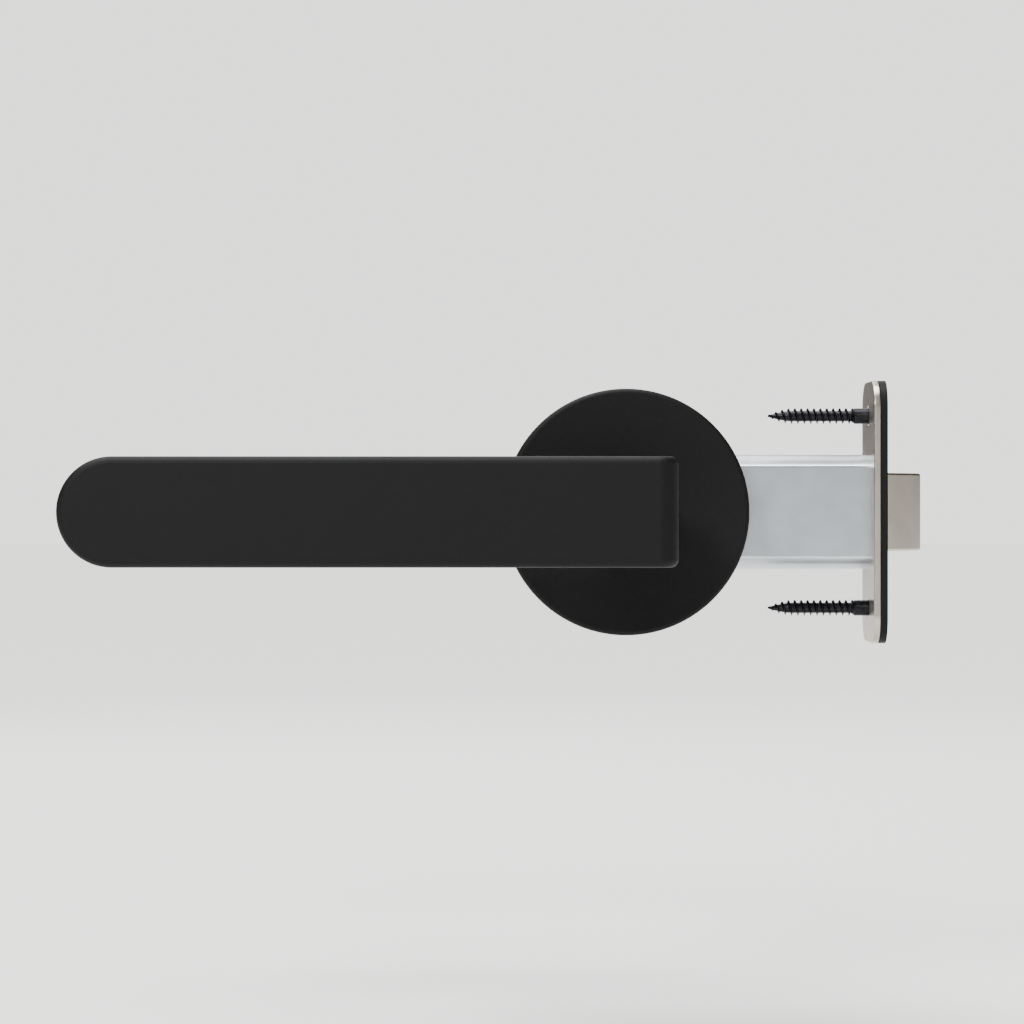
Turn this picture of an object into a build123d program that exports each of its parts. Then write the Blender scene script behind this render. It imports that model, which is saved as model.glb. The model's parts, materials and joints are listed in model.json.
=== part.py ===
from build123d import *
import os
from math import cos, degrees, radians, sin, sqrt

# Lever handle lockset: two straight levers on round roses, joined through the door by a
# square spindle and two clamping bolts, with a tubular latch in the door's edge.
#
# Millimetres. +X points to the door's edge, +Y goes through the door from the front rose to
# the rear rose, and +Z is up. The origin is on the spindle's axis, in the door's front face.
# The front handle stands outwards, towards -Y, and the rear handle is its mirror image.

# --- Door and overall sizes ---
door_thickness = 40.0
backset = 57.0                 # spindle's axis to the face of the door's edge
lever_tip = 114.0              # spindle's axis to the lever's free end
lever_heel = 9.0               # spindle's axis to the lever's other end
lever_height = 22.0
lever_projection = 56.0        # door's face to the lever's outer face
lever_swing = 55.0             # degrees from rest to fully down
rose_radius = 26.0
rose_height = 10.0

# --- Clearances ---
running_gap = 0.05             # radial, between a shaft and its bore
slip_gap = 0.1                 # between pieces that only slide together
loose_gap = 0.2                # between moving faces that never bear on each other
stop_gap = 0.3                 # between the spring driver's arm and its stops

# --- Lever ---
bar_thickness = 9.0
bar_edge_round = 1.5
heel_round = 4.0               # outer bend of the lever's neck, seen from above
bend_round = 6.0               # inner bend
block_root = 38.0              # where the squared neck starts to turn round
neck_end = 30.0                # where the neck is fully round
neck_radius = 9.0
spigot_radius = 7.5
spigot_flat = 6.4              # half width across the two driving flats
spigot_end = 0.2
grub_height = 16.0             # grub screw's axis above the door
grub_radius = 2.5

# --- Spindle ---
spindle_width = 8.0
spindle_grip = 32.0            # how far the spindle stands out of the door on each side
spindle_chamfer = 0.8

# --- Rose cover and neck bush ---
cover_wall = 1.2
cover_top = 1.5
cover_round = 1.0
bead_start = 2.2               # snap bead inside the cover's skirt
bead_width = 1.0
bead_depth = 0.5
bush_wall = 1.5
bush_flange_width = 3.0
bush_flange = 0.9

# --- Rose base ---
base_floor = 3.2
base_rim_wall = 2.0
base_rim_height = 7.2
recess_radius = 10.8           # room for the circlip behind the bearing
recess_depth = 2.4
bearing_wall = 1.65
bearing_height = 5.4
bolt_offset = 19.0             # clamping bolts, above and below the spindle
post_radius = 5.0
post_height = 4.6
stop_length = 5.2
stop_width = 3.0

# --- Circlip and thrust washer behind each bearing ---
washer_thickness = 0.4
circlip_thickness = 0.8
circlip_width = 2.0
circlip_groove_depth = 0.6
circlip_eye = 0.5
circlip_lug = 1.1

# --- Spring driver and return spring ---
driver_thickness = 1.6
driver_radius = 9.6
arm_thickness = 1.2
arm_width = 5.0
arm_reach = 20.5
finger_inner = 13.0
finger_outer = 16.5
finger_drop = 2.4
spring_wire = 1.1
spring_coil_radius = 10.6
spring_pitch = 1.15
spring_leg_reach = 16.8
spring_leg_lead = 14.0         # degrees from the driver's arm to the leg that it pushes
spring_wrap = 465.0            # degrees of coil between the two legs
spring_leg_draw = 0.03         # legs are drawn this much thinner in radius than the coil

# --- Clamping bolts ---
sleeve_radius = 3.0
collar_radius = 3.4            # thicker stretch of the sleeve in the rose base's hole
collar_reach = 1.0             # how far the collar runs into the door
bolt_radius = 2.0
bolt_head_radius = 4.2
bolt_head_height = 2.0
thread_overlap = 8.0           # length of bolt screwed into each sleeve nut
thread_room = 2.0              # blind hole left past the bolt's end

# --- Latch plates ---
plate_width = 25.0
plate_height = 57.0
plate_corner = 6.0
plate_thickness = 1.5
screw_spacing = 42.0
screw_radius = 1.75
screw_length = 25.0
screw_head_radius = 3.4
screw_tip = 5.0

# --- Latch case ---
case_radius = 12.5
case_width = 15.0
case_wall = 1.0
case_tail = 19.0               # how far the case runs behind the spindle's axis
tab_height = 10.0
rivet_radius = 1.5
rivet_head_radius = 2.4
rivet_head = 0.6
rivet_spacing = 9.0
rivet_inset = 4.5

# --- Follower ---
hub_radius = 7.0
boss_radius = 6.5
cam_reach = 9.5                # spindle's axis to the centre of each arm's nose
cam_nose = 1.4
cam_width = 5.6
cam_shank = 0.9
cam_back = 3.5
cam_clearance = 0.15           # nose to the retractor's lug

# --- Retractor and its springs ---
rail_gap = 0.4                 # rails to the case's flat sides and to the hub
rail_crown_gap = 0.35          # rails to the case's round top and bottom
rail_width = 2.2
lug_rise = 0.3                 # underside of the lugs above the underside of the rails
lug_half_width = 4.5
lug_depth = 3.8
cross_plate = 2.0
retractor_spring_radius = 1.1
retractor_spring_wire = 0.5
retractor_spring_turns = 11

# --- Latch bolt, its tail and its spring ---
bolt_thickness = 11.0
bolt_height = 17.0
bolt_tip_flat = 1.5
bolt_bevel_start = 0.4         # flat face of the bolt outside the faceplate
bolt_bevel_bulge = 0.9
flange_depth = 2.5
flange_gap = 0.5               # flange to the inside of the case
tail_radius = 2.0
tail_socket = 5.0
tail_pin_radius = 0.8
tail_nut_radius = 3.5
tail_nut_depth = 2.0
tail_end = 1.1                 # rod standing out behind the nut
bolt_spring_room = 16.8
bolt_spring_radius = 3.0
bolt_spring_wire = 0.8
bolt_spring_turns = 7

# --- Worked out from the sizes above ---
door_middle = Plane.XZ.offset(-door_thickness / 2)
latch_middle = door_thickness / 2
bar_back = lever_projection - bar_thickness
cover_inner_top = rose_height - cover_top
bush_outer = neck_radius + running_gap + bush_wall
base_radius = rose_radius - cover_wall - loose_gap
bore_radius = spigot_radius + running_gap
washer_start = recess_depth - running_gap - washer_thickness
circlip_start = washer_start - slip_gap - circlip_thickness
circlip_inner = spigot_radius - circlip_groove_depth + running_gap
driver_start = bearing_height + loose_gap
arm_start = driver_start + driver_thickness - arm_thickness
neck_shoulder = driver_start + driver_thickness + loose_gap
driver_rest = 180 - lever_swing / 2
driver_down = 180 + lever_swing / 2
stop_middle = arm_reach - 0.5
stop_side = arm_width / 2 + stop_gap + stop_width / 2
spring_leg_angle = driver_rest + spring_leg_lead
spring_anchor_angle = spring_leg_angle - spring_wrap
spring_corner = degrees(spring_wire / 2 / spring_coil_radius)
spring_start = base_floor + running_gap + spring_wire / 2
spring_rise = spring_pitch * (spring_wrap + 2 * spring_corner) / 360
spring_corner_rise = spring_pitch * spring_corner / 360
square_bore = spindle_width + 2 * running_gap
bolt_throw = 2 * cam_reach * sin(radians(lever_swing / 2))

faceplate_back = backset - plate_thickness
forend_back = faceplate_back - plate_thickness
case_back = -case_tail
cavity_back = case_back + case_wall
cavity_half_width = case_width / 2 - case_wall
cavity_radius = case_radius - case_wall
cam_contact = cam_reach * sin(radians(lever_swing / 2)) - cam_nose
lug_front = cam_contact - cam_clearance
lug_back = lug_front - lug_depth
rail_outer = cavity_half_width - rail_gap
rail_inner = rail_outer - rail_width
rail_low = hub_radius + rail_gap
rail_high = sqrt(cavity_radius**2 - rail_outer**2) - rail_crown_gap
lug_low = rail_low + lug_rise
lug_high = sqrt(cavity_radius**2 - lug_half_width**2) - loose_gap
flange_width = 2 * (cavity_half_width - flange_gap)
flange_height = 2 * (sqrt(cavity_radius**2 - (flange_width / 2) ** 2) - flange_gap)
flange_front = forend_back - loose_gap
flange_back = flange_front - flange_depth
bolt_tip = backset + bolt_throw + loose_gap
plate_front = flange_back - bolt_spring_room
plate_back = plate_front - cross_plate
nut_front = plate_back - loose_gap
nut_back = nut_front - tail_nut_depth
tail_back = nut_back - tail_end


def outside(height):
    """Plane parallel to the door, this far outside its front face, facing outwards."""
    return Plane.XZ.offset(height)


def across(distance):
    """Plane across the latch, this far from the spindle's axis, facing the door's edge."""
    return Plane(origin=(distance, latch_middle, 0), x_dir=(0, 1, 0), z_dir=(1, 0, 0))


os.makedirs("parts", exist_ok=True)

# --- Lever: a flat bar bent into a squared neck that turns round at the rose ---
with BuildPart() as lever:
    with BuildSketch() as lever_plan:
        with BuildLine():
            Polyline(
                (lever_heel, -block_root),
                (lever_heel, -lever_projection),
                (-lever_tip, -lever_projection),
                (-lever_tip, -bar_back),
                (-neck_radius, -bar_back),
                (-neck_radius, -block_root),
                close=True,
            )
        make_face()
        corners = lever_plan.vertices()
        fillet(corners.sort_by_distance((lever_heel, -lever_projection))[0], heel_round)
        fillet(corners.sort_by_distance((-neck_radius, -bar_back))[0], bend_round)
    extrude(amount=lever_height / 2, both=True)
    # The free end is a full half circle, seen from the front.
    with BuildSketch(outside(block_root)):
        tip_centre = lever_tip - lever_height / 2
        with Locations(((lever_heel - tip_centre) / 2, 0)):
            Rectangle(lever_heel + tip_centre, lever_height)
        with Locations((-tip_centre, 0)):
            Circle(lever_height / 2)
    extrude(amount=lever_projection - block_root, mode=Mode.INTERSECT)
    long_edges = lever.edges().filter_by(Axis.X).group_by(Axis.Y)
    fillet(long_edges[0] + long_edges[1], bar_edge_round)
    # The squared neck turns round.
    with BuildSketch(outside(neck_end)):
        Circle(neck_radius)
    with BuildSketch(outside(block_root)):
        with Locations(((lever_heel - neck_radius) / 2, 0)):
            RectangleRounded(lever_heel + neck_radius, lever_height, bar_edge_round)
    loft()
    with BuildSketch(outside(neck_shoulder)):
        Circle(neck_radius)
    extrude(amount=neck_end - neck_shoulder)
    # The spigot turns in the rose base and drives the spring with its two flats.
    with BuildSketch(outside(spigot_end)):
        Circle(spigot_radius)
        Rectangle(2 * spigot_radius, 2 * spigot_flat, mode=Mode.INTERSECT)
    extrude(amount=neck_shoulder - spigot_end)
    with BuildSketch(outside(circlip_start - running_gap)):
        Circle(spigot_radius + 1)
        Circle(spigot_radius - circlip_groove_depth, mode=Mode.SUBTRACT)
    extrude(amount=circlip_thickness + 2 * running_gap, mode=Mode.SUBTRACT)
    with BuildSketch(outside(spigot_end)):
        Rectangle(square_bore, square_bore)
    extrude(amount=spindle_grip + 0.5 - spigot_end, mode=Mode.SUBTRACT)
    with Locations((0, -grub_height, 0)):
        Cylinder(
            grub_radius,
            neck_radius + 1,
            align=(Align.CENTER, Align.CENTER, Align.MAX),
            mode=Mode.SUBTRACT,
        )
lever.part.label = "front_lever"
export_step(lever.part, "parts/front_lever.step")

# --- Grub screw: clamps the lever on the spindle from below ---
with BuildPart() as grub_screw:
    grub_top = -(spindle_width / 2 + slip_gap)
    grub_bottom = -(neck_radius - 0.4)
    with BuildSketch(Plane(origin=(0, -grub_height, grub_bottom))):
        Circle(grub_radius - running_gap)
    extrude(amount=grub_top - grub_bottom)
    chamfer(grub_screw.edges().group_by(Axis.Z)[-1], 0.5)
    with BuildSketch(Plane(origin=(0, -grub_height, grub_bottom))):
        RegularPolygon(1.25, 6, major_radius=False)
    extrude(amount=2.0, mode=Mode.SUBTRACT)
grub_screw.part.label = "front_grub_screw"
export_step(grub_screw.part, "parts/front_grub_screw.step")

# --- Rose cover: a pressed cup that snaps over the base and hides it ---
with BuildPart() as rose_cover:
    with BuildSketch(outside(0)):
        Circle(rose_radius)
    extrude(amount=rose_height)
    fillet(rose_cover.edges().group_by(Axis.Y)[0], cover_round)
    with BuildSketch(outside(0)):
        Circle(rose_radius - cover_wall)
    extrude(amount=cover_inner_top, mode=Mode.SUBTRACT)
    with BuildSketch(outside(0)):
        Circle(bush_outer + running_gap)
    extrude(amount=rose_height, mode=Mode.SUBTRACT)
    with BuildSketch(outside(bead_start)):
        Circle(rose_radius - cover_wall)
        Circle(rose_radius - cover_wall - bead_depth, mode=Mode.SUBTRACT)
    extrude(amount=bead_width)
rose_cover.part.label = "front_rose_cover"
export_step(rose_cover.part, "parts/front_rose_cover.step")

# --- Neck bush: a nylon ring between the rose cover and the lever's neck ---
with BuildPart() as neck_bush:
    bush_start = cover_inner_top - slip_gap - bush_flange
    with BuildSketch(outside(bush_start)):
        Circle(bush_outer)
    extrude(amount=rose_height - bush_start)
    with BuildSketch(outside(bush_start)):
        Circle(neck_radius + bush_flange_width)
    extrude(amount=bush_flange)
    with BuildSketch(outside(bush_start)):
        Circle(neck_radius + running_gap)
    extrude(amount=rose_height, mode=Mode.SUBTRACT)
neck_bush.part.label = "front_neck_bush"
export_step(neck_bush.part, "parts/front_neck_bush.step")


# --- Rose base: carries the lever's bearing, the spring and the bolts ---
def rose_base(post_hole):
    """Die-cast disc for the front of the door, with this radius of bolt hole."""
    posts = Locations((0, bolt_offset), (0, -bolt_offset))
    with BuildPart() as base:
        with BuildSketch(outside(0)):
            Circle(base_radius)
        extrude(amount=base_floor)
        with BuildSketch(outside(base_floor)):
            Circle(base_radius)
            Circle(base_radius - base_rim_wall, mode=Mode.SUBTRACT)
        extrude(amount=base_rim_height - base_floor)
        with BuildSketch(outside(base_floor)):
            Circle(bore_radius + bearing_wall)
        extrude(amount=bearing_height - base_floor)
        with BuildSketch(outside(base_floor)):
            with posts:
                Circle(post_radius)
        extrude(amount=post_height - base_floor)
        # Stops for the driver's arm, one at each end of the lever's travel.
        with BuildSketch(outside(base_floor)):
            with PolarLocations(stop_middle, 1, start_angle=driver_rest):
                with Locations((0, -stop_side)):
                    Rectangle(stop_length, stop_width)
            with PolarLocations(stop_middle, 1, start_angle=driver_down):
                with Locations((0, stop_side)):
                    Rectangle(stop_length, stop_width)
        extrude(amount=base_rim_height - base_floor)
        # Slot that holds the fixed leg of the return spring.
        anchor_side = spring_wire / 2 + slip_gap + 1
        with BuildSketch(outside(base_floor)):
            with PolarLocations(spring_leg_reach - 2, 1, start_angle=spring_anchor_angle):
                with Locations((0, anchor_side), (0, -anchor_side)):
                    Rectangle(4, 2)
        extrude(amount=spring_wire + 0.4)
        # Bearing bore, room for the circlip, and the groove for the cover's bead.
        with BuildSketch(outside(0)):
            Circle(bore_radius)
        extrude(amount=bearing_height, mode=Mode.SUBTRACT)
        with BuildSketch(outside(0)):
            Circle(recess_radius)
        extrude(amount=recess_depth, mode=Mode.SUBTRACT)
        with BuildSketch(outside(bead_start - slip_gap)):
            Circle(base_radius + 1)
            Circle(rose_radius - cover_wall - bead_depth - slip_gap, mode=Mode.SUBTRACT)
        extrude(amount=bead_width + 2 * slip_gap, mode=Mode.SUBTRACT)
        # Seats and holes for the clamping bolts.
        with BuildSketch(outside(post_height)):
            with posts:
                Circle(bolt_head_radius + stop_gap)
        extrude(amount=base_rim_height - post_height, mode=Mode.SUBTRACT)
        with BuildSketch(outside(0)):
            with posts:
                Circle(post_hole)
        extrude(amount=post_height, mode=Mode.SUBTRACT)
    return base


front_rose_base = rose_base(collar_radius + slip_gap)
front_rose_base.part.label = "front_rose_base"
export_step(front_rose_base.part, "parts/front_rose_base.step")

with BuildPart() as rear_rose_base:
    mirror(rose_base(bolt_radius + slip_gap).part, about=door_middle)
rear_rose_base.part.label = "rear_rose_base"
export_step(rear_rose_base.part, "parts/rear_rose_base.step")

# --- Thrust washer: between the rose base and the circlip ---
with BuildPart() as thrust_washer:
    with BuildSketch(outside(washer_start)):
        Circle(recess_radius - loose_gap)
        Circle(spigot_radius + slip_gap, mode=Mode.SUBTRACT)
    extrude(amount=washer_thickness)
thrust_washer.part.label = "front_thrust_washer"
export_step(thrust_washer.part, "parts/front_thrust_washer.step")

# --- Circlip: an external ring with two eyed ends, in the spigot's groove ---
with BuildPart() as circlip:
    with BuildSketch(outside(circlip_start)):
        Circle(circlip_inner + circlip_width)
        with PolarLocations(circlip_inner + circlip_lug, 2, 250, 40, endpoint=True):
            Circle(circlip_lug)
        Circle(circlip_inner, mode=Mode.SUBTRACT)
        with Locations((0, -circlip_inner - circlip_width / 2)):
            Rectangle(3, 2 * circlip_width, mode=Mode.SUBTRACT)
        with PolarLocations(circlip_inner + circlip_lug, 2, 250, 40, endpoint=True):
            Circle(circlip_eye, mode=Mode.SUBTRACT)
    extrude(amount=circlip_thickness)
circlip.part.label = "front_circlip"
export_step(circlip.part, "parts/front_circlip.step")

# --- Spring driver: a ring keyed to the lever's flats, with an arm and a finger ---
with BuildPart() as spring_driver:
    with BuildSketch(outside(driver_start)):
        Circle(driver_radius)
    extrude(amount=driver_thickness)
    with BuildSketch(outside(arm_start)):
        with PolarLocations((driver_radius + arm_reach) / 2 - 1, 1, start_angle=driver_rest):
            Rectangle(arm_reach - driver_radius + 2, arm_width)
    extrude(amount=arm_thickness)
    with BuildSketch(outside(arm_start - finger_drop)):
        with PolarLocations((finger_inner + finger_outer) / 2, 1, start_angle=driver_rest):
            Rectangle(finger_outer - finger_inner, arm_width)
    extrude(amount=finger_drop)
    with BuildSketch(outside(driver_start)):
        Circle(bore_radius)
        Rectangle(2 * bore_radius, 2 * (spigot_flat + running_gap), mode=Mode.INTERSECT)
    extrude(amount=driver_thickness, mode=Mode.SUBTRACT)
spring_driver.part.label = "front_spring_driver"
export_step(spring_driver.part, "parts/front_spring_driver.step")

# --- Return spring: a torsion coil with two legs that point outwards ---
return_coil = (
    outside(spring_start)
    * Rot(0, 0, spring_anchor_angle - spring_corner)
    * Helix(spring_pitch, spring_rise, spring_coil_radius)
)
with BuildPart() as return_spring:
    with BuildSketch(Plane(origin=return_coil @ 0, z_dir=return_coil % 0)):
        Circle(spring_wire / 2)
    sweep(path=return_coil, is_frenet=True)
    for leg_height, leg_angle in (
        (spring_start + spring_corner_rise, spring_anchor_angle),
        (spring_start + spring_rise - spring_corner_rise, spring_leg_angle),
    ):
        leg_way = Vector(cos(radians(leg_angle)), 0, sin(radians(leg_angle)))
        leg_root = leg_way * spring_coil_radius + Vector(0, -leg_height, 0)
        with BuildSketch(Plane(origin=leg_root, z_dir=leg_way)):
            Circle(spring_wire / 2 - spring_leg_draw)
        extrude(amount=spring_leg_reach - spring_coil_radius)
return_spring.part.label = "front_return_spring"
export_step(return_spring.part, "parts/front_return_spring.step")

# --- Spindle: a square bar through both levers and the follower ---
with BuildPart() as spindle:
    with BuildSketch(outside(-door_thickness - spindle_grip)):
        Rectangle(spindle_width, spindle_width)
    extrude(amount=door_thickness + 2 * spindle_grip)
    chamfer(spindle.edges().group_by(Axis.Y)[0], spindle_chamfer)
    chamfer(spindle.edges().group_by(Axis.Y)[-1], spindle_chamfer)
spindle.part.label = "spindle"
export_step(spindle.part, "parts/spindle.step")

# --- Sleeve nuts: from the front rose, threaded inside, with a slotted head ---
with BuildPart() as sleeve_nuts:
    sleeve_end = latch_middle + thread_overlap / 2
    bolt_places = Locations((0, bolt_offset), (0, -bolt_offset))
    with BuildSketch(outside(-sleeve_end)):
        with bolt_places:
            Circle(sleeve_radius)
    extrude(amount=sleeve_end + post_height)
    with BuildSketch(outside(-collar_reach)):
        with bolt_places:
            Circle(collar_radius)
    extrude(amount=collar_reach + post_height)
    with BuildSketch(outside(post_height)):
        with bolt_places:
            Circle(bolt_head_radius)
    extrude(amount=bolt_head_height)
    with BuildSketch(outside(-sleeve_end)):
        with bolt_places:
            Circle(bolt_radius + running_gap)
    extrude(amount=thread_overlap + thread_room, mode=Mode.SUBTRACT)
    with BuildSketch(outside(post_height + bolt_head_height)):
        with bolt_places:
            Rectangle(2 * bolt_head_radius, 1.2)
    extrude(amount=-1.0, mode=Mode.SUBTRACT)
sleeve_nuts.part.label = "sleeve_nuts"
export_step(sleeve_nuts.part, "parts/sleeve_nuts.step")

# --- Through bolts: from the rear rose into the sleeve nuts, with a cross recess ---
with BuildPart() as through_bolts:
    head_seat = door_thickness + post_height
    with BuildSketch(outside(-head_seat)):
        with bolt_places:
            Circle(bolt_radius)
    extrude(amount=head_seat - latch_middle + thread_overlap / 2)
    with BuildSketch(outside(-head_seat - bolt_head_height)):
        with bolt_places:
            Circle(bolt_head_radius)
    extrude(amount=bolt_head_height)
    with BuildSketch(outside(-head_seat - bolt_head_height)):
        with bolt_places:
            Rectangle(4.4, 1.0)
            Rectangle(1.0, 4.4)
    extrude(amount=1.3, mode=Mode.SUBTRACT)
through_bolts.part.label = "through_bolts"
export_step(through_bolts.part, "parts/through_bolts.step")


# --- Plates on the door's edge: the forend under the faceplate ---
def edge_plate(back):
    """Plate across the latch with the bolt's opening, from this distance outwards."""
    with BuildPart() as plate:
        with BuildSketch(across(back)):
            RectangleRounded(plate_width, plate_height, plate_corner)
            Rectangle(
                bolt_thickness + 2 * slip_gap,
                bolt_height + 2 * slip_gap,
                mode=Mode.SUBTRACT,
            )
        extrude(amount=plate_thickness)
    return plate


screw_places = Locations((0, screw_spacing / 2), (0, -screw_spacing / 2))

faceplate_blank = edge_plate(faceplate_back)
with BuildPart() as faceplate:
    add(faceplate_blank.part)
    chamfer(faceplate.faces().sort_by(Axis.X)[-1].outer_wire().edges(), 0.3)
    with Locations(across(backset)):
        with Locations((0, screw_spacing / 2), (0, -screw_spacing / 2)):
            CounterSinkHole(
                screw_radius + slip_gap,
                screw_head_radius + slip_gap,
                counter_sink_angle=90,
            )
faceplate.part.label = "faceplate"
export_step(faceplate.part, "parts/faceplate.step")

forend_blank = edge_plate(forend_back)
with BuildPart() as latch_forend:
    add(forend_blank.part)
    with BuildSketch(across(forend_back)):
        with screw_places:
            Circle(screw_radius + stop_gap)
        tab_middle = cavity_half_width + case_wall / 2
        with Locations((tab_middle, 0), (-tab_middle, 0)):
            Rectangle(case_wall + 2 * running_gap, tab_height + 2 * slip_gap)
    extrude(amount=plate_thickness, mode=Mode.SUBTRACT)
latch_forend.part.label = "latch_forend"
export_step(latch_forend.part, "parts/latch_forend.step")

# --- Faceplate screws: countersunk wood screws into the door's edge ---
with BuildPart() as faceplate_screws:
    screw_top = backset - running_gap
    cone_depth = screw_head_radius - screw_radius
    for screw_height in (screw_spacing / 2, -screw_spacing / 2):
        with BuildSketch(Plane.XY.offset(screw_height)):
            with BuildLine():
                Polyline(
                    (screw_top, latch_middle),
                    (screw_top, latch_middle + screw_head_radius),
                    (screw_top - cone_depth, latch_middle + screw_radius),
                    (screw_top - screw_length + screw_tip, latch_middle + screw_radius),
                    (screw_top - screw_length, latch_middle),
                    close=True,
                )
            make_face()
        revolve(axis=Axis((0, latch_middle, screw_height), (1, 0, 0)))
    with BuildSketch(across(screw_top)):
        with screw_places:
            Rectangle(3.6, 0.8)
            Rectangle(0.8, 3.6)
    extrude(amount=-1.2, mode=Mode.SUBTRACT)
faceplate_screws.part.label = "faceplate_screws"
export_step(faceplate_screws.part, "parts/faceplate_screws.step")

# --- Latch case: two pressed half shells of a flat-sided tube, closed at the tail ---
with BuildPart() as case_half:
    with BuildSketch(across(case_back)):
        Circle(case_radius)
        Rectangle(case_width, 2 * case_radius, mode=Mode.INTERSECT)
    extrude(amount=forend_back - case_back)
    with BuildSketch(across(cavity_back)):
        Circle(cavity_radius)
        Rectangle(2 * cavity_half_width, 2 * case_radius, mode=Mode.INTERSECT)
    extrude(amount=forend_back - cavity_back, mode=Mode.SUBTRACT)
    # Tabs that are riveted over in the forend's slots.
    with BuildSketch(across(forend_back)):
        with Locations((-tab_middle, 0)):
            Rectangle(case_wall, tab_height)
    extrude(amount=plate_thickness - slip_gap)
    # Holes for the follower's boss and the rivets, through the flat side.
    with BuildSketch(outside(0)):
        Circle(boss_radius + slip_gap)
        with Locations((cavity_back + rivet_inset, 0)):
            with Locations((0, rivet_spacing / 2), (0, -rivet_spacing / 2)):
                Circle(rivet_radius + running_gap)
    extrude(amount=-door_thickness, mode=Mode.SUBTRACT)
    split(bisect_by=door_middle, keep=Keep.TOP)
case_half.part.label = "latch_case_front_half"
export_step(case_half.part, "parts/latch_case_front_half.step")

# --- Case rivets: hold the two halves together at the tail ---
with BuildPart() as case_rivets:
    rivet_places = Locations(
        (cavity_back + rivet_inset, rivet_spacing / 2),
        (cavity_back + rivet_inset, -rivet_spacing / 2),
    )
    with BuildSketch(door_middle):
        with rivet_places:
            Circle(rivet_radius)
    extrude(amount=case_width / 2, both=True)
    for face in (door_middle.offset(case_width / 2), door_middle.offset(-case_width / 2 - rivet_head)):
        with BuildSketch(face):
            with rivet_places:
                Circle(rivet_head_radius)
        extrude(amount=rivet_head)
case_rivets.part.label = "case_rivets"
export_step(case_rivets.part, "parts/case_rivets.step")

# --- Follower: the hub on the spindle, with an arm above and an arm below ---
with BuildPart() as follower:
    with BuildSketch(door_middle):
        Circle(boss_radius)
    extrude(amount=case_width / 2, both=True)
    with BuildSketch(door_middle):
        Circle(hub_radius)
    extrude(amount=cavity_half_width - slip_gap, both=True)
    with BuildSketch(door_middle) as cam_arms:
        with BuildSketch(mode=Mode.PRIVATE) as cam_arm:
            with BuildLine():
                Polyline(
                    (0, cam_shank),
                    (cam_reach, cam_shank),
                    (cam_reach, -cam_nose),
                    (hub_radius, -cam_back),
                    (0, -cam_back),
                    close=True,
                )
            make_face()
            with Locations((cam_reach, 0)):
                Circle(cam_nose)
        with Locations(Location((0, 0, 0), (0, 0, 90 - lever_swing / 2))):
            add(cam_arm.sketch)
        mirror(about=Plane.XZ)
    extrude(amount=cam_width / 2, both=True)
    with BuildSketch(door_middle):
        Rectangle(square_bore, square_bore)
    extrude(amount=case_width, both=True, mode=Mode.SUBTRACT)
follower.part.label = "follower"
export_step(follower.part, "parts/follower.step")

# --- Retractor: a frame that the follower pulls back, with its cross plate behind the bolt ---
with BuildPart() as retractor:
    rail_middle = (rail_inner + rail_outer) / 2
    rail_height = (rail_low + rail_high) / 2
    with BuildSketch(across(lug_back)):
        with GridLocations(2 * rail_middle, 2 * rail_height, 2, 2):
            Rectangle(rail_outer - rail_inner, rail_high - rail_low)
    extrude(amount=plate_front - lug_back)
    with BuildSketch(across(lug_back)):
        with GridLocations(0, lug_low + lug_high, 1, 2):
            Rectangle(2 * lug_half_width, lug_high - lug_low)
    extrude(amount=lug_depth)
    with BuildSketch(across(plate_back)):
        Rectangle(2 * rail_outer, 2 * rail_high)
        Circle(tail_radius + stop_gap, mode=Mode.SUBTRACT)
    extrude(amount=cross_plate)
retractor.part.label = "retractor"
export_step(retractor.part, "parts/retractor.step")


def compression_coil(start, length, height, radius, wire, turns):
    """Helix along the latch, from this distance, clear of its seats by half the wire."""
    rise = length - wire - 2 * slip_gap
    helix = Helix(rise / turns, rise, radius)
    return across(start + slip_gap + wire / 2) * Pos(0, height, 0) * helix


# --- Retractor springs: push the retractor forward from the case's end wall ---
with BuildPart() as retractor_springs:
    for coil_height in ((lug_low + lug_high) / 2, -(lug_low + lug_high) / 2):
        coil = compression_coil(
            cavity_back,
            lug_back - cavity_back,
            coil_height,
            retractor_spring_radius,
            retractor_spring_wire,
            retractor_spring_turns,
        )
        with BuildSketch(Plane(origin=coil @ 0, z_dir=coil % 0)):
            Circle(retractor_spring_wire / 2)
        sweep(path=coil, is_frenet=True)
retractor_springs.part.label = "retractor_springs"
export_step(retractor_springs.part, "parts/retractor_springs.step")

# --- Latch bolt: a bevelled head with a flange that stops behind the forend ---
with BuildPart() as latch_bolt:
    near_side = latch_middle - bolt_thickness / 2
    far_side = latch_middle + bolt_thickness / 2
    bevel_foot = (backset + bolt_bevel_start, near_side)
    bevel_top = (bolt_tip, far_side - bolt_tip_flat)
    with BuildSketch():
        with BuildLine():
            Polyline(
                bevel_foot,
                (flange_back, near_side),
                (flange_back, far_side),
                (bolt_tip, far_side),
                bevel_top,
            )
            SagittaArc(bevel_foot, bevel_top, -bolt_bevel_bulge)
        make_face()
    extrude(amount=bolt_height / 2, both=True)
    with BuildSketch(across(flange_back)):
        Rectangle(flange_width, flange_height)
    extrude(amount=flange_depth)
    with BuildSketch(across(flange_back)):
        Circle(tail_radius + running_gap)
    extrude(amount=tail_socket, mode=Mode.SUBTRACT)
    with Locations((flange_back + flange_depth / 2, latch_middle, 0)):
        Cylinder(tail_pin_radius + running_gap, flange_height, mode=Mode.SUBTRACT)
latch_bolt.part.label = "latch_bolt"
export_step(latch_bolt.part, "parts/latch_bolt.step")

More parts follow.
